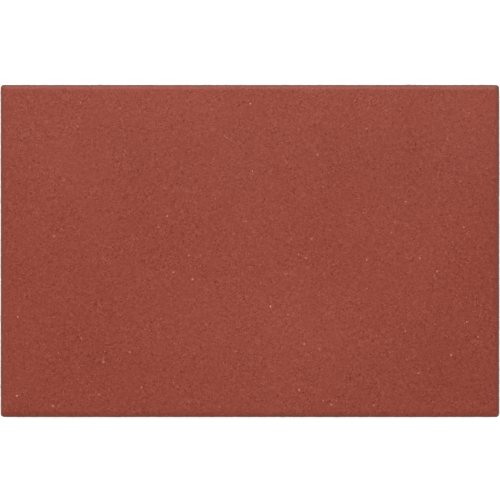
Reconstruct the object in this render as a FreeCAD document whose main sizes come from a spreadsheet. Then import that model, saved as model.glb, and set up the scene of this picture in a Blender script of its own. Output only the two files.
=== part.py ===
# A pressed concrete paving slab, 600 x 400 x 50 mm, made of two bonded layers of concrete.
#
# Frame: millimetres, +X along the length, +Y along the width, +Z up out of the walking face.
# The origin is the middle of the bedding face, the underside that lies on the ground.
#
# The slab is pressed in a steel mould from a thin facing of red concrete on a grey backing concrete,
# and the two set as one block. The stones that lie against the mould come out flush with the slab, so
# each one is a whole stone cut off by the face that it shows in, and sits in a socket of its own shape.

import FreeCAD, Part
import math
import os
import random
import Sketcher

DIMENSIONS = [
    ("slab_length", 600.0, "length along X"),
    ("slab_width", 400.0, "width along Y"),
    ("slab_height", 50.0, "bedding face to walking face"),
    ("corner_radius", 4.5, "rounding of the four upright corners"),
    ("facing_depth", 8.0, "thickness of the red facing, bevel included"),
    ("bevel_width", 6.0, "bevel round the walking face, seen from above"),
    ("bevel_drop", 3.0, "how far the bevel falls from the walking face to the side"),
    ("bevel_corner", 1.5, "rounding of the walking face's corners, inside the bevel"),
    ("crest_radius", 4.0, "rounding where the walking face rolls over into the bevel"),
    ("arris_radius", 0.8, "rounding where the bevel turns down into the side"),
    ("quartz_radius", 1.1, "usual radius of a quartz grain"),
    ("flint_radius", 1.6, "usual radius of a flint grain"),
    ("gravel_radius", 4.0, "usual radius of a gravel stone in the backing"),
]

SEED = 6040
QUARTZ_COUNT = 72
FLINT_COUNT = 20
GRAVEL_UNDERSIDE = 44
GRAVEL_LONG_SIDE = 16
GRAVEL_SHORT_SIDE = 11

GRAIN_SPREAD = (0.7, 1.45)  # a grain's radius, as a share of the usual one
GRAIN_SIDES = (5, 6, 7)  # crushed grains have a few flat flanks
GRAIN_THICKNESS = (1.1, 1.9)  # a grain's height, as a share of its radius
GRAIN_REACH = 1.4  # no corner of a grain is further from its middle than this many radii
GRAVEL_SPREAD = (0.6, 1.35)
SINK = (0.15, 0.6)  # how deep a stone's middle lies under the face, as a share of its radius
STONE_GAP = 1.0  # least concrete between two stones
FACE_MARGIN = 3.0  # least concrete between a stone and the end of its face
CLEAR_MIDDLE = 6.0  # no stone lies this near the middle of a face

NODES = ["backing_layer", "backing_gravel", "facing_layer", "quartz_grains", "flint_grains"]
VOLUME_TOLERANCE = 1e-4


def make_sheet(doc):
    """Keeps every driving dimension in one spreadsheet, each cell under its own alias."""
    sheet = doc.addObject("Spreadsheet::Sheet", "dimensions")
    for row, (alias, value, meaning) in enumerate(DIMENSIONS, start=1):
        sheet.set(f"A{row}", meaning)
        sheet.set(f"B{row}", f"{value}")
        sheet.setAlias(f"B{row}", alias)
    doc.recompute()
    return sheet


def origin_plane(body, role):
    return next(feature for feature in body.Origin.OriginFeatures if feature.Role == role)


def outline_sketch(body, name, inset, radius, height):
    """A rounded rectangle, the slab's outline less an inset, lying flat at a height.

    inset, radius and height are expressions of the sheet's aliases.
    """
    sketch = body.newObject("Sketcher::SketchObject", name)
    sketch.AttachmentSupport = [(origin_plane(body, "XY_Plane"), "")]
    sketch.MapMode = "FlatFace"
    sketch.setExpression("AttachmentOffset.Base.z", height)

    half_x, half_y, r = 290.0, 190.0, 5.0  # a first shape, which the constraints then size
    up = FreeCAD.Vector(0, 0, 1)
    middles = [
        (half_x - r, half_y - r, 0.0),
        (r - half_x, half_y - r, math.pi / 2),
        (r - half_x, r - half_y, math.pi),
        (half_x - r, r - half_y, 3 * math.pi / 2),
    ]
    corners = []
    for x, y, start in middles:
        circle = Part.Circle(FreeCAD.Vector(x, y, 0), up, r)
        arc = Part.ArcOfCircle(circle, start, start + math.pi / 2)
        corners.append((sketch.addGeometry(arc), arc))
    sides = []
    for (_, arc), (_, following) in zip(corners, corners[1:] + corners[:1]):
        sides.append(sketch.addGeometry(Part.LineSegment(arc.EndPoint, following.StartPoint)))

    start, end = 1, 2  # the sketcher's numbers for an edge's two ends
    for index, side in enumerate(sides):
        corner = corners[index][0]
        following = corners[(index + 1) % 4][0]
        sketch.addConstraint(Sketcher.Constraint("Tangent", corner, end, side, start))
        sketch.addConstraint(Sketcher.Constraint("Tangent", side, end, following, start))
        if index:
            sketch.addConstraint(Sketcher.Constraint("Equal", corners[0][0], corner))
    for side, direction in zip(sides, ["Horizontal", "Vertical", "Horizontal", "Vertical"]):
        sketch.addConstraint(Sketcher.Constraint(direction, side))
    top, left, bottom, right = sides
    origin_point = (-1, 1)
    sketch.addConstraint(Sketcher.Constraint("Symmetric", top, start, bottom, start, *origin_point))
    named = {
        "length": (Sketcher.Constraint("DistanceX", left, start, right, start, 2 * half_x),
                   f"dimensions.slab_length - 2 * ({inset})"),
        "width": (Sketcher.Constraint("DistanceY", bottom, start, top, start, 2 * half_y),
                  f"dimensions.slab_width - 2 * ({inset})"),
        "radius": (Sketcher.Constraint("Radius", corners[0][0], r), radius),
    }
    for label, (constraint, expression) in named.items():
        index = sketch.addConstraint(constraint)
        sketch.renameConstraint(index, label)
        sketch.setExpression(f"Constraints.{label}", expression)
    return sketch


def pad(body, name, sketch, length):
    feature = body.newObject("PartDesign::Pad", name)
    feature.Profile = sketch
    feature.setExpression("Length", length)
    return feature


def backing_blank(doc):
    """The grey backing before its stones: a plain block with rounded upright corners."""
    body = doc.addObject("PartDesign::Body", "backing_blank")
    outline = outline_sketch(body, "backing_outline", "0", "dimensions.corner_radius", "0")
    pad(body, "backing_pad", outline, "dimensions.slab_height - dimensions.facing_depth")
    return body


def edges_at(shape, height, tolerance=1e-3):
    """Names of the edges that lie flat at a height."""
    found = []
    for number, edge in enumerate(shape.Edges, start=1):
        heights = [vertex.Point.z for vertex in edge.Vertexes]
        if all(abs(z - height) < tolerance for z in heights):
            found.append(f"Edge{number}")
    return found


def facing_blank(doc, sheet):
    """The red facing before its grains: a flat pad with a bevel drawn in all round its face."""
    body = doc.addObject("PartDesign::Body", "facing_blank")
    low = "dimensions.slab_height - dimensions.facing_depth"
    shoulder = "dimensions.slab_height - dimensions.bevel_drop"
    crest = "dimensions.slab_height"
    outline = outline_sketch(body, "facing_outline", "0", "dimensions.corner_radius", low)
    pad(body, "facing_pad", outline, "dimensions.facing_depth - dimensions.bevel_drop")

    foot = outline_sketch(body, "bevel_foot", "0", "dimensions.corner_radius", shoulder)
    head = outline_sketch(
        body, "bevel_head", "dimensions.bevel_width", "dimensions.bevel_corner", crest
    )
    bevel = body.newObject("PartDesign::AdditiveLoft", "bevel")
    bevel.Profile = foot
    bevel.Sections = [head]
    bevel.Ruled = True
    doc.recompute()

    base = bevel
    shoulder_height = sheet.slab_height - sheet.bevel_drop
    for name, height, radius in [
        ("arris", shoulder_height, "dimensions.arris_radius"),
        ("crest", sheet.slab_height, "dimensions.crest_radius"),
    ]:
        rounding = body.newObject("PartDesign::Fillet", name)
        rounding.Base = (base, edges_at(base.Shape, height))
        rounding.setExpression("Radius", radius)
        doc.recompute()
        base = rounding
    return body


class Face:
    """A flat face of the slab, with a way to name points on it and under it.

    u and v run along the face from its middle. at() gives a point's X, Y and Z as expressions.
    """

    def __init__(self, half_u, half_v, normal, at):
        self.half_u = half_u
        self.half_v = half_v
        self.outward = FreeCAD.Rotation(FreeCAD.Vector(0, 0, 1), FreeCAD.Vector(*normal))
        self.at = at
        self.taken = []

    def free_spot(self, rng, reach):
        """A random (u, v) with room for a stone of this reach, clear of the stones already there."""
        while True:
            u = rng.uniform(-1, 1) * (self.half_u - reach - FACE_MARGIN)
            v = rng.uniform(-1, 1) * (self.half_v - reach - FACE_MARGIN)
            if math.hypot(u, v) < reach + CLEAR_MIDDLE:
                continue
            if all(math.hypot(u - a, v - b) > reach + c + STONE_GAP for a, b, c in self.taken):
                self.taken.append((u, v, reach))
                return u, v


def slab_faces(sheet):
    """The faces that stones show in. Heights on a side count from the middle of the backing."""
    length, width, height = sheet.slab_length, sheet.slab_width, sheet.slab_height
    backing = height - sheet.facing_depth
    flat_u = length / 2 - sheet.bevel_width
    flat_v = width / 2 - sheet.bevel_width

    def along(alias, offset, extent):
        return f"dimensions.{alias} * {offset / extent:.5f}"

    def flat(u, v, depth, side):
        x = along("slab_length", u, length)
        y = along("slab_width", v, width)
        return x, y, f"dimensions.slab_height - ({depth})" if side > 0 else depth

    def upright(v):
        return f"(dimensions.slab_height - dimensions.facing_depth) * {0.5 + v / backing:.5f}"

    def long_side(u, v, depth, side):
        y = f"{side} * (dimensions.slab_width / 2 - ({depth}))"
        return along("slab_length", u, length), y, upright(v)

    def short_side(u, v, depth, side):
        x = f"{side} * (dimensions.slab_length / 2 - ({depth}))"
        return x, along("slab_width", u, width), upright(v)

    def face(half_u, half_v, place, side):
        normal = {flat: (0, 0, side), long_side: (0, side, 0), short_side: (side, 0, 0)}[place]
        return Face(half_u, half_v, normal, lambda u, v, depth: place(u, v, depth, side))

    return {
        "walking": face(flat_u, flat_v, flat, 1),
        "bedding": face(length / 2, width / 2, flat, -1),
        "front": face(length / 2, backing / 2, long_side, -1),
        "back": face(length / 2, backing / 2, long_side, 1),
        "left": face(width / 2, backing / 2, short_side, -1),
        "right": face(width / 2, backing / 2, short_side, 1),
    }


def turn_at_random(rng):
    return FreeCAD.Rotation(rng.uniform(0, 360), rng.uniform(0, 180), rng.uniform(0, 360))


def put(stone, expressions):
    for axis, expression in zip("xyz", expressions):
        stone.setExpression(f"Placement.Base.{axis}", expression)


def grain(doc, rng, face, kind, number, usual, usual_value):
    """A crushed sand grain: a short tilted prism with a few flanks."""
    share = rng.uniform(*GRAIN_SPREAD)
    u, v = face.free_spot(rng, share * usual_value * GRAIN_REACH)
    stone = doc.addObject("Part::Prism", f"{kind}_{number}")
    stone.Polygon = rng.choice(GRAIN_SIDES)
    thickness = rng.uniform(*GRAIN_THICKNESS)
    radius = f"dimensions.{usual} * {share:.3f}"
    stone.setExpression("Circumradius", radius)
    stone.setExpression("Height", f"{radius} * {thickness:.3f}")
    turn = turn_at_random(rng)
    stone.Placement = FreeCAD.Placement(FreeCAD.Vector(), turn)
    # a prism starts at its own foot, so half its height is taken off to put its middle on the spot
    lean = turn.multVec(FreeCAD.Vector(0, 0, -thickness / 2))
    middle = face.at(u, v, f"{radius} * {rng.uniform(*SINK):.3f}")
    put(stone, [f"{place} + {radius} * ({step:.4f})" for place, step in zip(middle, lean)])
    return stone


def pebble(doc, rng, face, number, usual_value):
    """A rounded gravel stone, with its poles turned out of the face so that the cut is a clean circle."""
    share = rng.uniform(*GRAVEL_SPREAD)
    u, v = face.free_spot(rng, share * usual_value)
    stone = doc.addObject("Part::Sphere", f"pebble_{number}")
    radius = f"dimensions.gravel_radius * {share:.3f}"
    stone.setExpression("Radius", radius)
    stone.Placement = FreeCAD.Placement(FreeCAD.Vector(), face.outward)
    put(stone, face.at(u, v, f"{radius} * {rng.uniform(*SINK):.3f}"))
    return stone


def group(doc, name, stones):
    whole = doc.addObject("Part::Compound", name)
    whole.Links = stones
    return whole


def cut_flush(doc, label, stones, blank):
    """The part of each stone that lies inside the slab, which ends flush with its face."""
    flush = doc.addObject("Part::Common", f"{label}_flush")
    flush.Base = stones
    flush.Tool = blank
    flush.Label = label
    return flush


def with_sockets(doc, label, blank, stones):
    """A layer with a socket left in it for each stone."""
    layer = doc.addObject("Part::Cut", f"{label}_cut")
    layer.Base = blank
    layer.Tool = stones
    layer.Label = label
    return layer


def build(doc):
    sheet = make_sheet(doc)
    rng = random.Random(SEED)
    faces = slab_faces(sheet)
    backing = backing_blank(doc)
    facing = facing_blank(doc, sheet)

    walking = faces["walking"]
    quartz = [
        grain(doc, rng, walking, "quartz", number, "quartz_radius", sheet.quartz_radius)
        for number in range(QUARTZ_COUNT)
    ]
    flint = [
        grain(doc, rng, walking, "flint", number, "flint_radius", sheet.flint_radius)
        for number in range(FLINT_COUNT)
    ]
    pebbles = []
    for name, count in [
        ("bedding", GRAVEL_UNDERSIDE),
        ("front", GRAVEL_LONG_SIDE),
        ("back", GRAVEL_LONG_SIDE),
        ("left", GRAVEL_SHORT_SIDE),
        ("right", GRAVEL_SHORT_SIDE),
    ]:
        for _ in range(count):
            pebbles.append(pebble(doc, rng, faces[name], len(pebbles), sheet.gravel_radius))

    whole_quartz = group(doc, "whole_quartz", quartz)
    whole_flint = group(doc, "whole_flint", flint)
    whole_gravel = group(doc, "whole_gravel", pebbles)
    facing_stones = group(doc, "facing_stones", [whole_quartz, whole_flint])
    return {
        "backing_layer": with_sockets(doc, "backing_layer", backing, whole_gravel),
        "backing_gravel": cut_flush(doc, "backing_gravel", whole_gravel, backing),
        "facing_layer": with_sockets(doc, "facing_layer", facing, facing_stones),
        "quartz_grains": cut_flush(doc, "quartz_grains", whole_quartz, facing),
        "flint_grains": cut_flush(doc, "flint_grains", whole_flint, facing),
    }, [backing, facing]


def check(doc, parts, blanks):
    """Stops on a failed object, an empty or broken shape, or solids that don't fill the slab."""
    for item in doc.Objects:
        failed = {"Invalid", "Error"} & set(item.State)
        if failed:
            raise RuntimeError(f"{item.Name} is {sorted(failed)}")
    for node, part in parts.items():
        if part.Shape.isNull() or not part.Shape.isValid():
            raise RuntimeError(f"{node} has no valid shape")
        print(f"{node}: {len(part.Shape.Solids)} solids, {part.Shape.Volume:.1f} mm3")
    filled = sum(part.Shape.Volume for part in parts.values())
    expected = sum(blank.Shape.Volume for blank in blanks)
    if abs(filled - expected) > VOLUME_TOLERANCE * expected:
        raise RuntimeError(f"the pieces fill {filled:.0f} mm3 of the slab's {expected:.0f} mm3")
    print(f"whole slab: {filled:.0f} mm3")


def main():
    doc = FreeCAD.newDocument("paving_slab")
    parts, blanks = build(doc)
    doc.recompute()
    check(doc, parts, blanks)
    os.makedirs("parts", exist_ok=True)
    for node in NODES:
        parts[node].Shape.exportStep(f"parts/{node}.step")


main()
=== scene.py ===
"""The looks of a red concrete paving slab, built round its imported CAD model.

The slab is two bonded layers with stones in them. Each layer is a closed mesh whose surface carries the
relief of pressed concrete: sand grain, open pores, drag marks from the mould and small chips. The stones
stand where the CAD stones are, and finer sand is scattered between them. Lengths are metres.
"""

import math
import random
from typing import NamedTuple

import bmesh
import bpy
import numpy as np
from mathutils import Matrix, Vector
from mathutils.bvhtree import BVHTree
from mathutils.geometry import delaunay_2d_cdt
from mathutils.kdtree import KDTree


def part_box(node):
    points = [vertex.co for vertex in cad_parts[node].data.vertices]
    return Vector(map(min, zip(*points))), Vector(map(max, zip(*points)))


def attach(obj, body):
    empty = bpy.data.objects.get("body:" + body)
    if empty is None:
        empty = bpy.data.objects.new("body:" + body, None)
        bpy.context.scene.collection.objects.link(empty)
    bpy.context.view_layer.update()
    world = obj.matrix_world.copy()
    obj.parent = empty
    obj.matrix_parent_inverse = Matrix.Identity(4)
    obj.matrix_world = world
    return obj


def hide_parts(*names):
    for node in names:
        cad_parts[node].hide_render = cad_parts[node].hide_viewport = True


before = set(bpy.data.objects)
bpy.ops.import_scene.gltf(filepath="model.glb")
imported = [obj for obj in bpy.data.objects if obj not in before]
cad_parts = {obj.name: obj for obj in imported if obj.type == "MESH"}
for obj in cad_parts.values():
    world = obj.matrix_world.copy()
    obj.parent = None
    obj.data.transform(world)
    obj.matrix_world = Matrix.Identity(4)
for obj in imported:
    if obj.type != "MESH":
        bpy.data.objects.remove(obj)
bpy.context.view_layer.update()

MM = 0.001
SEED = 6040

# the slab, from the CAD model
FACING_LOW, FACING_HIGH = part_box("facing_layer")
HALF_LENGTH = FACING_HIGH.x
HALF_WIDTH = FACING_HIGH.y
TOP = FACING_HIGH.z
BOND = FACING_LOW.z
BEVEL_WIDTH = 6 * MM
BEVEL_DROP = 3 * MM
CORNER_RADIUS = 4.5 * MM
CREST_RADIUS = 7 * MM  # worn rounder than it left the mould
FACE_FLAT = 8.4 * MM  # how far in the walking face's even grid starts, just past the crest
ARRIS_RADIUS = 0.8 * MM
FOOT_RADIUS = 1.0 * MM
BED_FLAT = 2.2 * MM  # how far in the underside's even grid starts
CORNER_REACH = 9 * MM  # how far the rounding of the upright corners is felt inwards

# mesh spacing
FACE_SPACING = 1.85 * MM
BED_SPACING = 1.95 * MM
BOND_SPACING = 12 * MM
FACING_WALL_ROWS = 4
BACKING_WALL_ROWS = 24

# the relief's highest points are about level with the CAD faces, so its middle lies this far back, in mm
SIDE_SET_BACK = 0.25
BED_SET_BACK = 0.62


# ---------------------------------------------------------------- noise

def lattice(ix, iy, iz, seed):
    """A repeatable number from 0 to 1 for each whole-numbered point."""
    h = (ix * 374761393 + iy * 668265263 + iz * 1442695041 + seed * 1274126177) & 0xFFFFFFFF
    h = ((h ^ (h >> 13)) * 1274126177) & 0xFFFFFFFF
    h = ((h ^ (h >> 16)) * 2246822519) & 0xFFFFFFFF
    return (h ^ (h >> 15)) / 0xFFFFFFFF


def noise(points, size, seed):
    """Smooth values from -1 to 1, with features of about that size."""
    scaled = points / size + 500.0
    cell = np.floor(scaled).astype(np.int64)
    t = scaled - cell
    t = t * t * (3 - 2 * t)
    total = np.zeros(len(points))
    for dx in (0, 1):
        for dy in (0, 1):
            for dz in (0, 1):
                weight = np.ones(len(points))
                for axis, step in enumerate((dx, dy, dz)):
                    weight *= t[:, axis] if step else 1 - t[:, axis]
                total += weight * lattice(cell[:, 0] + dx, cell[:, 1] + dy, cell[:, 2] + dz, seed)
    return 2 * total - 1


def smooth(low, high, values):
    """0 below low, 1 above high, and a soft step between."""
    t = np.clip((values - low) / (high - low), 0, 1)
    return t * t * (3 - 2 * t)


# ---------------------------------------------------------------- the layers' shape

def facing_profile():
    """(inset, drop) from the head of the side, over the arris, up the bevel and over the crest."""
    slope = math.atan2(BEVEL_DROP, BEVEL_WIDTH)
    turn = math.pi / 2 - slope
    tangent = ARRIS_RADIUS * math.tan(turn / 2)
    points = []
    for step in range(4):
        angle = turn * step / 3
        points.append((
            ARRIS_RADIUS * (1 - math.cos(angle)),
            BEVEL_DROP + tangent - ARRIS_RADIUS * math.sin(angle),
        ))
    crest_tangent = CREST_RADIUS * math.tan(slope / 2)
    foot = points[-1]
    head_inset = BEVEL_WIDTH - crest_tangent * math.cos(slope)
    head_drop = crest_tangent * math.sin(slope)
    for share in (0.25, 0.5, 0.75):
        points.append((
            foot[0] + (head_inset - foot[0]) * share,
            foot[1] + (head_drop - foot[1]) * share,
        ))
    for step in range(4):
        angle = slope * (1 - step / 3)
        points.append((
            BEVEL_WIDTH + crest_tangent - CREST_RADIUS * math.sin(angle),
            CREST_RADIUS * (1 - math.cos(angle)),
        ))
    return points + [(FACE_FLAT, 0.0)]


def backing_profile():
    """(inset, drop) over the small rounding at the foot of the side."""
    angles = [math.pi / 2 * step / 3 for step in range(4)]
    points = [
        (FOOT_RADIUS * (1 - math.cos(a)), FOOT_RADIUS * (1 - math.sin(a))) for a in angles
    ]
    return points + [(BED_FLAT, 0.0)]


def grid_lines(insets, half, spacing):
    """Places of the grid lines across the slab: the profile's at both ends, even ones between."""
    inner = half - insets[-1]
    middle = np.linspace(-inner, inner, round(2 * inner / spacing) + 1)
    edge = np.array([half - inset for inset in insets[:-1]])
    return np.concatenate([-edge, middle, edge[::-1]])


def round_corners(x, y):
    """Bends the square rings of a grid round the slab's upright corners."""
    u = HALF_LENGTH - np.abs(x)
    v = HALF_WIDTH - np.abs(y)
    ring = np.minimum(u, v)
    near = (u < CORNER_REACH) & (v < CORNER_REACH)
    radius = np.maximum(CORNER_RADIUS * (1 - ring / CORNER_REACH), 1e-9)
    span = np.maximum(CORNER_REACH - ring, 1e-9)
    half_arc = radius * math.pi / 4
    along = (np.maximum(u, v) - ring) / span * (half_arc + span - radius)
    angle = math.pi / 4 - np.minimum(along, half_arc) / radius
    across = ring + radius * (1 - np.cos(angle))
    forward = ring + radius * (1 - np.sin(angle)) + np.maximum(along - half_arc, 0)
    new_u = np.where(u <= v, across, forward)
    new_v = np.where(u <= v, forward, across)
    x = np.where(near, np.sign(x) * (HALF_LENGTH - new_u), x)
    y = np.where(near, np.sign(y) * (HALF_WIDTH - new_v), y)
    return x, y, ring


def bond_height(x, y):
    """The wavy surface where the facing meets the backing."""
    points = np.stack([x, y, np.zeros_like(x)], axis=1)
    wave = 0.9 * noise(points, 34 * MM, 11) + 0.5 * noise(points, 11 * MM, 12)
    return BOND + wave * MM + 0.25 * MM * noise(points, 3.5 * MM, 13)


def rim_loop(columns, rows):
    """Numbers of the grid's outer points, once round anticlockwise."""
    south = list(range(columns))
    east = [(j + 1) * columns - 1 for j in range(1, rows)]
    north = [rows * columns - 1 - i for i in range(1, columns)]
    west = [j * columns for j in range(rows - 2, 0, -1)]
    return south + east + north + west


def fill_loop(loop_xy, spacing):
    """Triangles over a closed loop, with a coarse grid of points inside. The loop comes first."""
    clear = spacing * 0.4
    xs = np.arange(-HALF_LENGTH + clear, HALF_LENGTH, spacing)
    ys = np.arange(-HALF_WIDTH + clear, HALF_WIDTH, spacing)
    inner = [
        (x, y) for x in xs for y in ys
        if abs(x) < HALF_LENGTH - clear and abs(y) < HALF_WIDTH - clear
    ]
    points = [Vector(p) for p in list(loop_xy) + inner]
    count = len(loop_xy)
    edges = [(i, (i + 1) % count) for i in range(count)]
    inside_only, tolerance = 1, 1e-7
    filled = delaunay_2d_cdt(points, edges, [], inside_only, tolerance)
    return np.array([tuple(p) for p in filled[0]]), [tuple(f) for f in filled[2]]


def layer_mesh(name, profile, spacing, face_height, up, side_rows):
    """A closed layer of the slab: its outer face, its sides down (or up) to the bond, and the bond.

    up is 1 for the facing, whose face looks up, and -1 for the backing.
    Returns the object and, for each point, how far in from the slab's outline it lies.
    """
    insets = [inset for inset, _ in profile]
    drops = [drop for _, drop in profile]
    lines_x = grid_lines(insets, HALF_LENGTH, spacing)
    lines_y = grid_lines(insets, HALF_WIDTH, spacing)
    columns, rows = len(lines_x), len(lines_y)
    x, y = (a.ravel() for a in np.meshgrid(lines_x, lines_y))
    x, y, ring = round_corners(x, y)
    z = face_height - up * np.interp(ring, insets, drops)
    points = [np.stack([x, y, z], axis=1)]
    inset = [ring]

    corner = np.arange(columns * rows).reshape(rows, columns)
    quads = np.stack(
        [corner[:-1, :-1], corner[:-1, 1:], corner[1:, 1:], corner[1:, :-1]], axis=-1
    ).reshape(-1, 4)
    faces = [tuple(q) for q in quads.tolist()]

    loop = np.array(rim_loop(columns, rows))
    loop_x, loop_y = x[loop], y[loop]
    head = face_height - up * drops[0]
    foot = bond_height(loop_x, loop_y)
    above = loop
    total = columns * rows
    for row in range(1, side_rows + 1):
        share = row / side_rows
        below = np.arange(total, total + len(loop))
        points.append(np.stack([loop_x, loop_y, head + (foot - head) * share], axis=1))
        inset.append(np.zeros(len(loop)))
        following = np.roll(above, -1), np.roll(below, -1)
        strip = np.stack([above, below, following[1], following[0]], axis=1)
        faces += [tuple(q) for q in strip.tolist()]
        total += len(loop)
        above = below

    cap_xy, cap_faces = fill_loop(np.stack([loop_x, loop_y], axis=1), BOND_SPACING)
    extra = cap_xy[len(loop):]
    points.append(np.column_stack([extra, bond_height(extra[:, 0], extra[:, 1])]))
    inset.append(np.full(len(extra), BEVEL_WIDTH))
    numbers = np.concatenate([above, np.arange(total, total + len(extra))])
    for face in cap_faces:
        faces.append(tuple(int(numbers[i]) for i in reversed(face)))

    if up < 0:
        faces = [tuple(reversed(face)) for face in faces]
    mesh = bpy.data.meshes.new(name)
    mesh.from_pydata(np.concatenate(points).tolist(), [], faces)
    mesh.polygons.foreach_set("use_smooth", [True] * len(mesh.polygons))
    mesh.update()
    ob = bpy.data.objects.new(name, mesh)
    bpy.context.scene.collection.objects.link(ob)
    return ob, np.concatenate(inset)


def positions(ob):
    co = np.empty(len(ob.data.vertices) * 3)
    ob.data.vertices.foreach_get("co", co)
    return co.reshape(-1, 3)


def normals(ob):
    out = np.empty(len(ob.data.vertices) * 3)
    ob.data.vertex_normals.foreach_get("vector", out)
    return out.reshape(-1, 3)


def move_to(ob, co):
    ob.data.vertices.foreach_set("co", co.ravel())
    ob.data.update()


def paint(ob, name, values):
    """Stores a number for each point, which a material can read."""
    layer = ob.data.attributes.new(name, "FLOAT", "POINT")
    layer.data.foreach_set("value", np.asarray(values, np.float32))


# ---------------------------------------------------------------- relief

class Hollows:
    """Open pores and chips, ragged because they are laid out in a slightly twisted space."""

    def __init__(self, co, twist, size):
        shift = [noise(co, size, seed) for seed in (61, 62, 63)]
        self.co = co + twist * np.stack(shift, axis=1)
        self.tree = KDTree(len(co))
        for i, point in enumerate(self.co):
            self.tree.insert(point, i)
        self.tree.balance()

    def depth(self, spots, radii, depths, floor=0.4):
        """How deep the hollows at these spots go at each point. floor is the flat share of their width."""
        total = np.zeros(len(self.co))
        for spot, radius, deep in zip(spots, radii, depths):
            for _, i, gap in self.tree.find_range(spot, 1.15 * radius):
                here = deep * (1 - smooth(floor, 1.15, gap / radius))
                total[i] = max(total[i], here)
        return total


def face_spots(rng, count, height):
    """Random places on a flat face."""
    return np.column_stack([
        rng.uniform(-HALF_LENGTH, HALF_LENGTH, count),
        rng.uniform(-HALF_WIDTH, HALF_WIDTH, count),
        np.full(count, height),
    ])


def side_spots(rng, count, low, high, inset=0.0):
    """Random places round the four sides, between two heights."""
    along = rng.uniform(-1, 1, count)
    outer = rng.choice([-1, 1], count)
    short = rng.random(count) < HALF_WIDTH / (HALF_LENGTH + HALF_WIDTH)
    x = np.where(short, outer * (HALF_LENGTH - inset), along * HALF_LENGTH)
    y = np.where(short, along * HALF_WIDTH, outer * (HALF_WIDTH - inset))
    return np.column_stack([x, y, rng.uniform(low, high, count)])


def clustered(rng, spots):
    """Leaves out about half of the spots, so that the others lie in loose clusters."""
    return spots[noise(spots, 40 * MM, 64) > rng.uniform(-0.6, 0.6, len(spots))]


class HollowKind(NamedTuple):
    """How many hollows of one kind there are, and how wide and deep they come out."""

    count: int
    small: float  # least radius in mm
    large: float  # largest radius in mm
    steepness: float  # the higher it is, the fewer are large
    share: float  # most depth, as a share of the radius
    deepest: float  # most depth in mm

    def sizes(self, rng, count):
        """The radii and the depths of this many hollows."""
        radii = (self.small + (self.large - self.small) * rng.random(count) ** self.steepness) * MM
        depths = np.minimum(rng.uniform(0.5, 1.0, count) * self.share * radii, self.deepest * MM)
        return radii, depths


FACE_PITS = HollowKind(count=300, small=0.9, large=2.0, steepness=3.0, share=0.45, deepest=0.7)
RED_WALL_PITS = HollowKind(count=420, small=0.8, large=2.2, steepness=2.0, share=0.6, deepest=1.1)
SHOULDER_CHIPS = HollowKind(count=40, small=1.0, large=2.6, steepness=2.0, share=0.45, deepest=0.9)
WALL_PORES = HollowKind(count=1000, small=1.1, large=3.4, steepness=4.0, share=0.9, deepest=2.4)
BED_PORES = HollowKind(count=1800, small=1.3, large=4.6, steepness=5.0, share=0.65, deepest=2.4)
FOOT_CHIPS = HollowKind(count=70, small=1.5, large=5.0, steepness=2.0, share=0.5, deepest=2.0)
CHIP_FLOOR = 0.2  # the flat share of a chip's width


def side_relief(co):
    """Drag marks and grain on a side that slid up the mould wall."""
    stretched = co * np.array([1, 1, 0.07])
    drag = 0.13 * noise(stretched, 2.6 * MM, 21) + 0.16 * noise(stretched, 9 * MM, 22)
    grain = 0.16 * noise(co, 2.4 * MM, 23) + 0.12 * noise(co, 5.5 * MM, 24)
    return (drag + grain - SIDE_SET_BACK) * MM


def facings(ob):
    """How far each point looks up, down and sideways, as shares of 1."""
    height = normals(ob)[:, 2]
    upward, downward = smooth(0.3, 0.7, height), smooth(0.3, 0.7, -height)
    return upward, downward, 1 - upward - downward


def clouds(co):
    """Broad light and dark areas of the face: paler at its middle, and paler along the back edge, on the
    side the key light comes from, which is painted light.
    """
    x, y = co[:, 0], co[:, 1]
    middle = 0.55 * np.exp(-((x - 60 * MM) / (190 * MM)) ** 2 - ((y + 40 * MM) / (150 * MM)) ** 2)
    # painted light: lighter towards the back edge, where the key light comes from
    back = 0.55 * smooth(HALF_WIDTH - 110 * MM, HALF_WIDTH + 10 * MM, y)
    return middle + back - 0.33 + 0.38 * noise(co, 110 * MM, 36) + 0.16 * noise(co, 45 * MM, 37)


def painted_sheen(co):
    """Where a painted sheen from the key light pales and greys the face: over its back half, in soft
    patches.
    """
    back = smooth(-10 * MM, 130 * MM, co[:, 1] + 30 * MM * noise(co, 90 * MM, 38))
    return np.clip(back * (1 + 0.35 * noise(co, 40 * MM, 39)), 0, 1.3)


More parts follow.
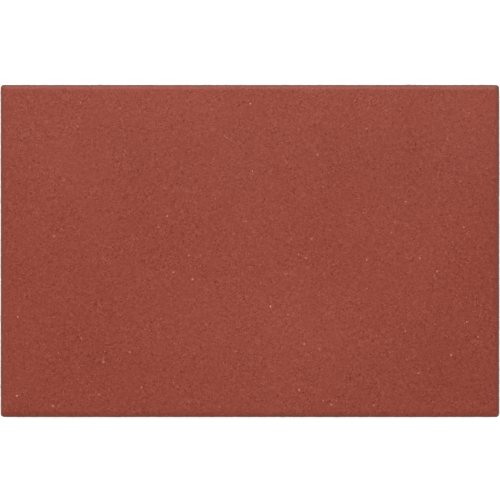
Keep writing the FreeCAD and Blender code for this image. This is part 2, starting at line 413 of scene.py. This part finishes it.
def make_facing():
    ob, inset = layer_mesh("facing", facing_profile(), FACE_SPACING, TOP, 1, FACING_WALL_ROWS)
    co, out = positions(ob), normals(ob)
    upward, downward, sideways = facings(ob)
    rng = np.random.default_rng(SEED)
    hollows = Hollows(co, twist=0.5 * MM, size=2.5 * MM)

    grain = 0.12 * noise(co, 2.2 * MM, 31) + 0.06 * noise(co, 4.4 * MM, 32)
    swell = 0.10 * noise(co, 75 * MM, 33) + 0.05 * noise(co, 21 * MM, 34)
    sizes = FACE_PITS.sizes(rng, FACE_PITS.count)
    pits = hollows.depth(face_spots(rng, FACE_PITS.count, TOP), *sizes) * upward
    shoulder = TOP - BEVEL_DROP
    sizes = RED_WALL_PITS.sizes(rng, RED_WALL_PITS.count)
    spots = side_spots(rng, RED_WALL_PITS.count, BOND, shoulder)
    wall_pits = hollows.depth(spots, *sizes) * sideways
    low, high = shoulder - 0.6 * MM, shoulder + 0.4 * MM
    spots = side_spots(rng, SHOULDER_CHIPS.count, low, high, inset=0.2 * MM)
    sizes = SHOULDER_CHIPS.sizes(rng, SHOULDER_CHIPS.count)
    chips = hollows.depth(spots, *sizes, floor=CHIP_FLOOR) * (1 - downward)
    arris = np.exp(-((inset - 0.3 * MM) / (0.9 * MM)) ** 2) * (1 - downward)
    worn = 0.20 * MM * arris * noise(co, 3.2 * MM, 35)

    face = (grain + swell) * MM * upward
    lift = face + side_relief(co) * sideways - pits - wall_pits - chips + worn
    move_to(ob, co + out * lift[:, None])

    steep = BEVEL_WIDTH / BEVEL_DROP  # turns a direction into 1 where the bevel looks that way
    right, back = np.clip(out[:, :2].T * steep, 0, 1)
    left, front = np.clip(-out[:, :2].T * steep, 0, 1)
    # so that the rim is wider along the short ends, the left one most, and narrower along the front
    paint(ob, "inset", inset / MM - 0.95 * left - 0.5 * right + 0.3 * front)
    # back: how far the bevel faces the back, where the key light is; the material paints a highlight by it
    paint(ob, "back", back)
    paint(ob, "wall", sideways * (1 - smooth(0, 0.6 * MM, inset)))
    paint(ob, "hollow", np.maximum(pits, wall_pits) / MM)
    paint(ob, "chip", chips / MM)
    paint(ob, "cloud", clouds(co))
    paint(ob, "painted_sheen", painted_sheen(co) * upward)
    paint(ob, "relief", grain * upward + (side_relief(co) / MM + SIDE_SET_BACK) * sideways)
    return ob


def make_backing():
    ob, inset = layer_mesh("backing", backing_profile(), BED_SPACING, 0.0, -1, BACKING_WALL_ROWS)
    co, out = positions(ob), normals(ob)
    upward, downward, sideways = facings(ob)
    rng = np.random.default_rng(SEED + 1)
    hollows = Hollows(co, twist=1.5 * MM, size=2.8 * MM)

    spots = clustered(rng, side_spots(rng, WALL_PORES.count, 0.0, BOND))
    wall_pits = hollows.depth(spots, *WALL_PORES.sizes(rng, len(spots))) * sideways
    spots = clustered(rng, face_spots(rng, BED_PORES.count, 0.0))
    bed_pits = hollows.depth(spots, *BED_PORES.sizes(rng, len(spots))) * downward
    spots = side_spots(rng, FOOT_CHIPS.count, 0.0, 1.2 * MM, inset=0.5 * MM)
    sizes = FOOT_CHIPS.sizes(rng, FOOT_CHIPS.count)
    chips = hollows.depth(spots, *sizes, floor=CHIP_FLOOR) * (1 - upward)

    bed = (0.28 * noise(co, 3.2 * MM, 41) + 0.3 * noise(co, 9 * MM, 42) - BED_SET_BACK) * MM
    foot = np.exp(-((inset - 0.5 * MM) / (0.9 * MM)) ** 2) * (1 - upward)
    worn = 0.35 * foot * (noise(co, 5 * MM, 43) - 0.7) * MM

    lift = bed * downward + side_relief(co) * sideways - wall_pits - bed_pits - chips + worn
    move_to(ob, co + out * lift[:, None])

    paint(ob, "wall", sideways)
    paint(ob, "hollow", np.maximum(wall_pits, bed_pits) / MM)
    paint(ob, "chip", chips / MM)
    relief = (side_relief(co) / MM + SIDE_SET_BACK) * sideways + (bed / MM + BED_SET_BACK) * downward
    paint(ob, "relief", relief)
    return ob


# ---------------------------------------------------------------- stones

FINE_SAND_COUNT = 520

# how far a stone stands out of the concrete round it
QUARTZ_CROWN = 0.20 * MM
FINE_CROWN = 0.14 * MM
FLINT_CROWN = 0.16 * MM
GRAVEL_CROWN = 0.4 * MM


def islands(node):
    """The points of each separate solid of a CAD node."""
    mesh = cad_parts[node].data
    co = np.array([v.co for v in mesh.vertices])
    _, same = np.unique(np.round(co / (0.001 * MM)).astype(np.int64), axis=0, return_inverse=True)
    same = same.ravel()
    parent = list(range(same.max() + 1))

    def root(i):
        while parent[i] != i:
            parent[i] = parent[parent[i]]
            i = parent[i]
        return i

    for edge in mesh.edges:
        a, b = root(same[edge.vertices[0]]), root(same[edge.vertices[1]])
        parent[a] = b
    groups = {}
    for i, key in enumerate(same):
        groups.setdefault(root(key), []).append(i)
    return [co[members] for _, members in sorted(groups.items(), key=lambda g: g[1][0])]


SLAB_FACES = [
    (Vector((0, 0, 1)), TOP),
    (Vector((0, 0, -1)), 0.0),
    (Vector((1, 0, 0)), HALF_LENGTH),
    (Vector((-1, 0, 0)), HALF_LENGTH),
    (Vector((0, 1, 0)), HALF_WIDTH),
    (Vector((0, -1, 0)), HALF_WIDTH),
]


def shown_outline(points):
    """(middle, radius, outward) of the flat where a stone is cut off by a face of the slab."""
    for outward, distance in SLAB_FACES:
        flush = points[np.abs(points @ np.array(outward) - distance) < 0.02 * MM]
        if len(flush) >= 3:
            middle = (flush.max(axis=0) + flush.min(axis=0)) / 2
            radius = np.linalg.norm(flush - middle, axis=1).mean()
            return Vector(middle), radius, outward
    raise ValueError("a stone shows in no face of the slab")


def ball(level):
    """The points and faces of a ball of radius 1."""
    bm = bmesh.new()
    bmesh.ops.create_icosphere(bm, subdivisions=level, radius=1.0)
    co = np.array([v.co for v in bm.verts])
    faces = [[v.index for v in f.verts] for f in bm.faces]
    bm.free()
    return co, faces


class Stones:
    """A group of stones that become one object, each its own closed shape."""

    def __init__(self, name, level, seed):
        self.name = name
        self.unit, self.unit_faces = ball(level)
        self.rng = random.Random(seed)
        self.points, self.faces, self.tone, self.film = [], [], [], []
        self.count = 0

    def add(self, middle, radius, outward, crown, lumps, facets, film):
        """One stone whose outline of this radius lies at middle, looking outward.

        It stands crown proud of that place and goes about its radius into it. lumps and facets are how
        uneven and how angular it is, and film is how much of it the cement still covers, from 0 to 1.
        """
        rng = self.rng
        turn = rng.uniform(0, 2 * math.pi)
        stretch = rng.uniform(0.75, 1.0)
        co = self.unit * np.array([1.0, stretch, 1.0])
        shift = np.array([rng.uniform(0, 50) for _ in range(3)])
        co = co * (1 + lumps * noise(self.unit + shift, 0.8, 51))[:, None]
        for _ in range(facets):
            way = np.array([rng.gauss(0, 1) for _ in range(3)])
            way /= np.linalg.norm(way)
            over = np.maximum(co @ way - rng.uniform(0.6, 0.85), 0)
            co = co - over[:, None] * way
        height = np.where(co[:, 2] > 0, co[:, 2] * crown, co[:, 2] * radius)
        flat = co[:, :2] * radius
        c, s = math.cos(turn), math.sin(turn)
        local = np.column_stack([flat @ np.array([[c, -s], [s, c]]), height])
        to_face = Vector((0, 0, 1)).rotation_difference(outward).to_matrix()
        world = local @ np.array(to_face).T + np.array(middle)
        self.points.append(world)
        self.faces += [[i + self.count for i in face] for face in self.unit_faces]
        self.count += len(world)
        self.tone += [rng.random()] * len(world)
        self.film += [film] * len(world)

    def build(self, flat_shaded):
        mesh = bpy.data.meshes.new(self.name)
        mesh.from_pydata(np.concatenate(self.points).tolist(), [], self.faces)
        mesh.polygons.foreach_set("use_smooth", [not flat_shaded] * len(mesh.polygons))
        mesh.update()
        ob = bpy.data.objects.new(self.name, mesh)
        bpy.context.scene.collection.objects.link(ob)
        paint(ob, "tone", self.tone)
        paint(ob, "film", self.film)
        return ob


class Surface:
    """A finished layer that things can be set on."""

    def __init__(self, ob):
        self.tree = BVHTree.FromPolygons(
            [v.co for v in ob.data.vertices], [list(p.vertices) for p in ob.data.polygons]
        )

    def foot(self, middle, outward):
        """Where a stone at middle meets the uneven surface, from 5 mm outward to 7 mm inward of it."""
        hit = self.tree.ray_cast(middle + outward * 5 * MM, -outward, 12 * MM)[0]
        return hit or middle


def make_grains(facing):
    """The pale quartz and the duller flint in the facing, with finer sand between."""
    surface = Surface(facing)
    quartz = Stones("quartz", 2, SEED + 2)
    for points in islands("quartz_grains"):
        middle, radius, outward = shown_outline(points)
        film = 1 - 0.95 * quartz.rng.random() ** 2.4
        foot = surface.foot(middle, outward)
        quartz.add(foot, radius, outward, QUARTZ_CROWN, lumps=0.18, facets=7, film=film)
    fine = Stones("fine_sand", 1, SEED + 3)
    up = Vector((0, 0, 1))
    for _ in range(FINE_SAND_COUNT):
        x = fine.rng.uniform(-1, 1) * (HALF_LENGTH - 2 * MM)
        y = fine.rng.uniform(-1, 1) * (HALF_WIDTH - 2 * MM)
        radius = fine.rng.uniform(0.45, 0.95) * MM
        foot = surface.foot(Vector((x, y, TOP)), up)
        film = 1 - 0.6 * fine.rng.random() ** 1.5
        fine.add(foot, radius, up, FINE_CROWN, lumps=0.18, facets=4, film=film)
    flint = Stones("flint", 2, SEED + 4)
    for points in islands("flint_grains"):
        middle, radius, outward = shown_outline(points)
        film = flint.rng.uniform(0.35, 0.95)
        foot = surface.foot(middle, outward)
        flint.add(foot, radius, outward, FLINT_CROWN, lumps=0.15, facets=5, film=film)
    return quartz.build(flat_shaded=True), fine.build(flat_shaded=True), flint.build(flat_shaded=False)


def make_gravel(backing):
    """The pebbles that show in the sides and the underside."""
    surface = Surface(backing)
    gravel = Stones("gravel", 3, SEED + 5)
    for points in islands("backing_gravel"):
        middle, radius, outward = shown_outline(points)
        film = gravel.rng.uniform(0.0, 0.7)
        foot = surface.foot(middle, outward)
        foot.z = max(foot.z, GRAVEL_CROWN * 1.1)  # nothing stands lower than the ground
        gravel.add(foot, radius, outward, GRAVEL_CROWN, lumps=0.2, facets=3, film=film)
    return gravel.build(flat_shaded=False)


# ---------------------------------------------------------------- materials

DULL = 0.2  # the shader's specular level for dry concrete and the stones in it


class Material:
    """A procedural material, built up from sockets."""

    def __init__(self, name):
        self.material = bpy.data.materials.new(name)
        self.material.use_nodes = True
        self.tree = self.material.node_tree
        self.shader = self.tree.nodes["Principled BSDF"]
        self.shader.inputs["Specular IOR Level"].default_value = DULL
        self.place = self.node("ShaderNodeTexCoord").outputs["Object"]

    def node(self, kind, **settings):
        made = self.tree.nodes.new(kind)
        for key, value in settings.items():
            setattr(made, key, value)
        return made

    def feed(self, socket, value):
        if isinstance(value, bpy.types.NodeSocket):
            self.tree.links.new(value, socket)
        elif isinstance(value, tuple):
            socket.default_value = (*value, 1.0)  # a colour
        else:
            socket.default_value = value

    def stretched(self, scale):
        made = self.node("ShaderNodeMapping")
        self.feed(made.inputs["Vector"], self.place)
        made.inputs["Scale"].default_value = scale
        return made.outputs["Vector"]

    def noise_node(self, size, detail=2.0, roughness=0.5, place=None):
        made = self.node("ShaderNodeTexNoise")
        self.feed(made.inputs["Vector"], place or self.place)
        made.inputs["Scale"].default_value = 0.5 / size
        made.inputs["Detail"].default_value = detail
        made.inputs["Roughness"].default_value = roughness
        return made

    def noise(self, size, *settings):
        """Noise from 0 to 1 with features of about this size in metres."""
        return self.noise_node(size, *settings).outputs["Fac"]

    def warped(self, size, amount):
        """The place, nudged this way and that, so that what is laid out on it comes out ragged."""
        centred = self.node("ShaderNodeVectorMath", operation="SUBTRACT")
        self.feed(centred.inputs[0], self.noise_node(size).outputs["Color"])
        centred.inputs[1].default_value = (0.5, 0.5, 0.5)
        moved = self.node("ShaderNodeVectorMath", operation="ADD")
        self.feed(moved.inputs[0], self.place)
        self.feed(moved.inputs[1], self.scaled(centred.outputs[0], amount))
        return moved.outputs[0]

    def cells(self, size, place=None):
        """Cells of about this size: the Distance from each one's middle, and three numbers of its own."""
        made = self.node("ShaderNodeTexVoronoi")
        self.feed(made.inputs["Vector"], place or self.place)
        made.inputs["Scale"].default_value = 1.0 / size
        own = self.node("ShaderNodeSeparateColor")
        self.feed(own.inputs["Color"], made.outputs["Color"])
        found = {name: own.outputs[name] for name in ("Red", "Green", "Blue")}
        return {**found, "Distance": made.outputs["Distance"]}

    def place_parts(self):
        made = self.node("ShaderNodeSeparateXYZ")
        self.feed(made.inputs["Vector"], self.place)
        return {axis: made.outputs[axis] for axis in "XYZ"}

    def attribute(self, name):
        return self.node("ShaderNodeAttribute", attribute_name=name).outputs["Fac"]

    def span(self, value, low, high, start=0.0, end=1.0):
        """value from low..high turned into start..end, and held there outside."""
        made = self.node("ShaderNodeMapRange", clamp=True)
        self.feed(made.inputs["Value"], value)
        for socket, number in zip(("From Min", "From Max", "To Min", "To Max"),
                                  (low, high, start, end)):
            made.inputs[socket].default_value = number
        return made.outputs["Result"]

    def maths(self, operation, a, b):
        made = self.node("ShaderNodeMath", operation=operation)
        self.feed(made.inputs[0], a)
        self.feed(made.inputs[1], b)
        return made.outputs["Value"]

    def plus(self, a, b):
        return self.maths("ADD", a, b)

    def minus(self, a, b):
        return self.maths("SUBTRACT", a, b)

    def times(self, a, b):
        return self.maths("MULTIPLY", a, b)

    def tails(self, value):
        """0..1 turned into -1..1, with most of it near 0 and only the ends far out."""
        centred = self.times(self.minus(value, 0.5), 2.0)
        return self.times(centred, self.times(centred, centred))

    def mix(self, amount, a, b):
        """Colour a, turning into colour b as amount goes from 0 to 1."""
        made = self.node("ShaderNodeMix", data_type="RGBA")
        # the node has sockets of the same names for numbers and vectors too, so these go by number
        factor, first, second, result = made.inputs[0], made.inputs[6], made.inputs[7], made.outputs[2]
        self.feed(factor, amount)
        self.feed(first, a)
        self.feed(second, b)
        return result

    def scaled(self, colour, amount):
        """colour times a number."""
        made = self.node("ShaderNodeVectorMath", operation="SCALE")
        self.feed(made.inputs[0], colour)
        self.feed(made.inputs["Scale"], amount)
        return made.outputs[0]

    def bump(self, height, distance, strength=1.0, base=None):
        made = self.node("ShaderNodeBump")
        made.inputs["Strength"].default_value = strength
        made.inputs["Distance"].default_value = distance
        self.feed(made.inputs["Height"], height)
        if base:
            self.feed(made.inputs["Normal"], base)
        return made.outputs["Normal"]

    def finish(self, colour, roughness, normal):
        self.feed(self.shader.inputs["Base Color"], colour)
        self.feed(self.shader.inputs["Roughness"], roughness)
        self.feed(self.shader.inputs["Normal"], normal)
        return self.material


# The facing's colours. PALE and DARK lie as far from RED as a sand grain and a pore do.
RED = (0.311, 0.0615, 0.0385)
PALE = (0.453, 0.1315, 0.0965)
DARK = (0.197, 0.0220, 0.0120)
BLOOM_AND_SHEEN = (0.48, 0.37, 0.33)  # the cement that dries pale on the surface, and the colour of the painted sheen and highlight
PORE = (0.115, 0.0150, 0.0090)  # the shade inside a pinhole
FLECK = (0.560, 0.190, 0.145)  # a clean sand grain
RIM = (0.198, 0.062, 0.043)  # a darker brownish band along the outer edge
EDGE = (0.260, 0.138, 0.110)  # and the paler one on its very edge


def facing_material():
    m = Material("red_facing_concrete")
    ragged = m.warped(1.0 * MM, 1.6 * MM)
    grain = m.noise(1.3 * MM, 1.0, 0.6)
    coarse = m.cells(1.15 * MM, ragged)
    fine = m.cells(0.6 * MM, ragged)
    pores = m.cells(2.3 * MM, ragged)
    sunk = m.cells(13 * MM, m.warped(3 * MM, 4 * MM))  # pale grains just under the surface

    # how light each place is: 0 is plain red, 1 is PALE and about -0.7 is DARK
    light = m.times(m.minus(grain, 0.5), 0.68)
    light = m.plus(light, m.times(m.minus(m.noise(2.3 * MM, 1.0), 0.5), 0.56))
    light = m.plus(light, m.times(m.tails(coarse["Red"]), 0.35))
    light = m.plus(light, m.times(m.minus(fine["Red"], 0.5), 0.2))
    sandy = m.span(m.noise(7 * MM, 1.0), 0.3, 0.7, 0.6, 1.35)  # how plainly the sand shows here
    light = m.times(light, sandy)
    light = m.plus(light, m.times(m.minus(m.noise(34 * MM, 3.0, 0.55), 0.5), 0.2))
    veiled = m.times(m.span(sunk["Blue"], 0.88, 0.95), m.span(sunk["Distance"], 0.26, 0.08))
    light = m.plus(light, m.times(veiled, 0.3))
    # broad patches, with painted light along the back edge
    light = m.plus(light, m.times(m.attribute("cloud"), 0.17))
    light = m.plus(light, m.times(m.attribute("relief"), 0.3))
    # painted shade: the hollows are made darker the deeper they go
    light = m.minus(light, m.span(m.attribute("hollow"), 0.05, 0.6, 0.0, 0.4))
    light = m.plus(light, m.span(m.attribute("chip"), 0.1, 0.5, 0.0, 0.25))
    colour = m.mix(m.span(light, 0.0, 1.0), RED, PALE)
    colour = m.mix(m.span(light, 0.0, -0.7), colour, DARK)
    # painted sheen: the back half of the face is made a little paler and greyer
    colour = m.mix(m.times(m.attribute("painted_sheen"), 0.014), colour, BLOOM_AND_SHEEN)

    # clean sand grains, and pinholes between them
    fleck = m.times(m.span(coarse["Green"], 0.93, 0.97), m.span(coarse["Distance"], 0.65, 0.4))
    fleck = m.times(fleck, m.times(m.span(coarse["Blue"], 0, 1, 0.12, 0.6), sandy))
    colour = m.mix(fleck, colour, FLECK)
    pit = m.times(m.span(pores["Blue"], 0.92, 0.93), m.span(pores["Distance"], 0.42, 0.26))
    shaded = m.times(pit, m.times(m.span(pores["Green"], 0, 1, 0.1, 0.85), sandy))
    colour = m.mix(shaded, colour, PORE)

    # the bevel, and a darker band and a paler line along the outer edge; edge is about how far in each
    # place lies, in mm
    uneven = m.plus(m.times(m.noise(3.0 * MM, 2.0), 1.5), m.times(m.noise(22 * MM, 1.0), 1.6))
    edge = m.plus(m.attribute("inset"), m.minus(uneven, 1.55))
    bevel = m.span(edge, 7.6, 4.6)
    # painted shade: the bevel is made 5 % darker
    colour = m.scaled(colour, m.minus(1.0, m.times(bevel, 0.05)))
    patchy = m.noise(8 * MM, 3.0, 0.65)
    wall = m.attribute("wall")
    on_top = m.minus(1.0, m.times(wall, 0.75))
    rim = m.times(m.span(edge, 4.0, 2.2), m.span(patchy, 0.35, 0.62, 0.45, 1.0))
    colour = m.mix(m.times(rim, on_top), colour, RIM)
    # a paler line right on the outer edge
    worn = m.times(m.span(edge, 1.5, 0.6), m.span(patchy, 0.38, 0.6, 1.0, 0.5))
    colour = m.mix(m.times(worn, on_top), colour, EDGE)
    # painted highlight: the bevel facing the key light at the back is made paler
    painted_back_highlight = m.times(bevel, m.span(m.attribute("back"), 0.3, 1.0, 0.0, 0.11))
    colour = m.mix(painted_back_highlight, colour, BLOOM_AND_SHEEN)
    drag = m.noise(2.0 * MM, 3.0, 0.65, m.stretched((1, 1, 0.15)))
    colour = m.mix(m.times(wall, m.span(drag, 0.42, 0.7, 0.0, 0.2)), colour, BLOOM_AND_SHEEN)

    rough = m.plus(m.span(grain, 0.3, 0.7, 0.76, 0.88), m.times(pit, 0.1))
    height = m.minus(m.plus(m.times(coarse["Distance"], -0.5), grain), m.times(pit, 1.2))
    normal = m.bump(fine["Distance"], -0.12 * MM, 0.7)
    normal = m.bump(height, 0.28 * MM, 0.8, normal)
    return m.finish(colour, rough, normal)


# The stones' colours, from the darkest to the lightest.
QUARTZ_DARK, QUARTZ_LIGHT = (0.48, 0.165, 0.125), (0.98, 0.60, 0.52)
FLINT_DARK, FLINT_LIGHT = (0.30, 0.105, 0.075), (0.48, 0.235, 0.175)
RIVER_DARK, RIVER_LIGHT = (0.10, 0.085, 0.07), (0.42, 0.36, 0.28)

# The backing's colours: its cement paste, the dried skin on it, and its light and dark sand.
PASTE_DARK = (0.175, 0.167, 0.152)
PASTE_PALE = (0.45, 0.435, 0.40)
SKIN = (0.50, 0.49, 0.46)
SAND_PALE = (0.56, 0.50, 0.41)
SAND_DARK = (0.105, 0.095, 0.080)
# the painted shade inside a blowhole
BLOWHOLE_SHADE = (0.055, 0.052, 0.046)
SMEAR = (0.31, 0.115, 0.085)  # red paste dragged down from the facing


def backing_material():
    m = Material("grey_backing_concrete")
    ragged = m.warped(1.3 * MM, 2.2 * MM)
    grain = m.noise(1.3 * MM, 2.0, 0.6)
    coarse = m.cells(2.0 * MM, ragged)
    fine = m.cells(0.7 * MM, ragged)
    pores = m.cells(3.0 * MM, ragged)
    wall = m.attribute("wall")

    # how light each place is: 0 is PASTE_DARK and 1 is PASTE_PALE
    light = m.plus(0.5, m.times(m.minus(grain, 0.5), 0.9))
    light = m.plus(light, m.times(m.minus(fine["Red"], 0.5), 0.55))
    light = m.plus(light, m.times(m.tails(coarse["Blue"]), 0.3))
    light = m.plus(light, m.times(m.minus(m.noise(24 * MM, 3.0, 0.6), 0.5), 0.8))
    light = m.plus(light, m.times(m.minus(m.noise(110 * MM, 2.0, 0.5), 0.5), 0.5))
    light = m.plus(light, m.times(m.attribute("relief"), 0.35))
    # painted shade: the hollows are made darker the deeper they go
    light = m.minus(light, m.span(m.attribute("hollow"), 0.2, 1.6, 0.0, 0.5))
    colour = m.mix(m.span(light, 0.0, 1.0), PASTE_DARK, PASTE_PALE)

    # its light and dark sand, and the gravel that shows through the skin in places
    sand = m.span(coarse["Distance"], 0.5, 0.4)
    pale = m.times(sand, m.span(coarse["Red"], 0.84, 0.98, 0.0, 0.7))
    colour = m.mix(pale, colour, SAND_PALE)
    dark = m.times(sand, m.span(coarse["Green"], 0.86, 0.98, 0.0, 0.7))
    colour = m.mix(dark, colour, SAND_DARK)
    gravel = m.cells(6.5 * MM, m.warped(4 * MM, 4 * MM))
    near = m.times(m.span(gravel["Red"], 0.65, 0.75), m.span(gravel["Distance"], 0.46, 0.36))
    bare = m.times(near, m.span(gravel["Blue"], 0, 1, 0.05, 0.5))
    colour = m.mix(bare, colour, m.mix(gravel["Green"], RIVER_DARK, RIVER_LIGHT))

    # dried skin that slid up the mould, painted shade in the open pores, and the red that came down with
    # it
    drag = m.noise(2.6 * MM, 2.0, 0.5, m.stretched((1, 1, 0.07)))
    colour = m.mix(m.times(wall, m.span(drag, 0.5, 0.75, 0.0, 0.4)), colour, SKIN)
    pit = m.times(m.span(pores["Blue"], 0.84, 0.86), m.span(pores["Distance"], 0.34, 0.26))
    colour = m.mix(m.times(pit, m.span(pores["Green"], 0, 1, 0.3, 0.9)), colour, BLOWHOLE_SHADE)
    torn = m.times(m.noise(7 * MM, 3.0), 6 * MM)
    smear = m.span(
        m.plus(m.place_parts()["Z"], torn), BOND + 0.2 * MM, BOND + 3.4 * MM, 0.0, 0.65
    )
    colour = m.mix(smear, colour, SMEAR)

    height = m.plus(m.times(coarse["Distance"], -0.6), m.times(grain, 1.2))
    height = m.minus(height, m.times(pit, 1.8))
    normal = m.bump(fine["Distance"], -0.15 * MM, 0.8)
    normal = m.bump(height, 0.45 * MM, 0.8, normal)
    return m.finish(colour, m.span(grain, 0.3, 0.7, 0.85, 0.97), normal)


def stone_material(name, dark, light, veil, roughness, size, rarity=1.0):
    """Stones from dark to light, each still partly covered by a film of cement in the veil colour.

    The higher the rarity, the fewer of them are light.
    """
    m = Material(name)
    tone, film = m.attribute("tone"), m.attribute("film")
    veins = m.noise(size, 3.0, 0.6)
    shade = m.plus(
        m.times(m.maths("POWER", tone, rarity), 0.8), m.span(veins, 0.3, 0.7, 0.0, 0.2)
    )
    colour = m.mix(shade, dark, light)
    patchy = m.times(m.minus(m.noise(size * 0.7, 2.0), 0.5), 1.2)
    cover = m.times(m.span(m.plus(film, patchy), 0.1, 0.9), m.span(film, 0.0, 0.3))
    colour = m.mix(cover, colour, veil)
    normal = m.bump(m.noise(size * 0.4, 2.0), 0.08 * MM, 0.6)
    return m.finish(colour, m.span(veins, 0.3, 0.7, roughness - 0.08, roughness + 0.08), normal)


def dress(ob, material, slot, *nodes):
    ob.data.materials.append(material)
    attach(ob, "root")
    if nodes:
        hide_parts(*nodes)


# ---------------------------------------------------------------- the pieces

facing = make_facing()
backing = make_backing()
quartz, fine_sand, flint = make_grains(facing)
gravel = make_gravel(backing)

pale = stone_material("pale_quartz", QUARTZ_DARK, QUARTZ_LIGHT, PALE, 0.5, 1.2 * MM, 5.0)
dull = stone_material("dull_flint", FLINT_DARK, FLINT_LIGHT, RED, 0.6, 2 * MM)
river = stone_material("river_gravel", RIVER_DARK, RIVER_LIGHT, PASTE_PALE, 0.6, 4 * MM)
dress(facing, facing_material(), "red_facing_concrete", "facing_layer")
dress(backing, backing_material(), "grey_backing_concrete", "backing_layer")
dress(quartz, pale, "pale_quartz", "quartz_grains")
dress(fine_sand, pale, "pale_quartz")
dress(flint, dull, "dull_flint", "flint_grains")
dress(gravel, river, "river_gravel", "backing_gravel")


# ---------------------------------------------------------------- floor, light and camera

STAGE_REACH = 8.0
STAGE_HEIGHT = 7.0
FLOOR_GREY = 0.92
FLOOR_GLOW = 0.52
KEY_PLACE = (-0.6, 2.05, 1.7)
KEY_SIZE = 1.2
KEY_POWER = 32
SURROUND_STRENGTH = 0.72
CAMERA_HEIGHT = 4.0
SLAB_SHARE = 0.9985  # how much of the picture's width the slab takes
AIM = (0.14 * MM, 1.1 * MM)  # so the slab sits a touch left of and below the picture's middle


def glowing(name, grey, glow):
    """A matt grey material that also gives off light of its own."""
    material = bpy.data.materials.new(name)
    material.use_nodes = True
    shader = material.node_tree.nodes["Principled BSDF"]
    shader.inputs["Base Color"].default_value = (grey, grey, grey, 1)
    shader.inputs["Roughness"].default_value = 1.0
    shader.inputs["Specular IOR Level"].default_value = 0.0
    shader.inputs["Emission Color"].default_value = (1, 1, 1, 1)
    shader.inputs["Emission Strength"].default_value = glow
    return material


def stage_piece(name, corners, faces, material):
    mesh = bpy.data.meshes.new(name)
    mesh.from_pydata(corners, [], faces)
    mesh.materials.append(material)
    ob = bpy.data.objects.new(name, mesh)
    bpy.context.scene.collection.objects.link(ob)
    return ob


def make_stage():
    """A pale floor, with a plain white backdrop round it that lights nothing."""
    r, h = STAGE_REACH, STAGE_HEIGHT
    square = [(-r, -r), (r, -r), (r, r), (-r, r)]
    low = [(x, y, 0) for x, y in square]
    high = [(x, y, h) for x, y in square]
    stage_piece("floor", low, [(0, 1, 2, 3)], glowing("pale_floor", FLOOR_GREY, FLOOR_GLOW))
    walls = [(i, (i + 1) % 4, (i + 1) % 4 + 4, i + 4) for i in range(4)]
    backdrop = stage_piece("backdrop", low + high, walls, glowing("white_backdrop", 0, 1.0))
    backdrop.visible_diffuse = False
    backdrop.visible_glossy = False
    backdrop.visible_shadow = False


def make_key_light():
    """A soft square light behind and above the slab, aimed at its middle."""
    data = bpy.data.lights.new("key", "AREA")
    data.shape = "SQUARE"
    data.size = KEY_SIZE
    data.energy = KEY_POWER
    ob = bpy.data.objects.new("key", data)
    bpy.context.scene.collection.objects.link(ob)
    ob.location = KEY_PLACE
    ob.rotation_euler = (-Vector(KEY_PLACE)).to_track_quat("-Z", "Y").to_euler()


def make_world():
    world = bpy.data.worlds.new("soft_surround")
    world.use_nodes = True
    background = world.node_tree.nodes["Background"]
    background.inputs["Color"].default_value = (1, 1, 1, 1)
    background.inputs["Strength"].default_value = SURROUND_STRENGTH
    bpy.context.scene.world = world


def make_camera():
    data = bpy.data.cameras.new("camera")
    view_width = 2 * HALF_LENGTH / SLAB_SHARE
    data.sensor_width = 36.0
    data.lens = data.sensor_width * (CAMERA_HEIGHT - (TOP - BEVEL_DROP)) / view_width
    data.clip_end = 100.0
    camera = bpy.data.objects.new("camera", data)
    bpy.context.scene.collection.objects.link(camera)
    camera.location = (*AIM, CAMERA_HEIGHT)
    bpy.context.scene.camera = camera


make_stage()
make_key_light()
make_world()
make_camera()
bpy.context.scene.view_settings.view_transform = "Standard"
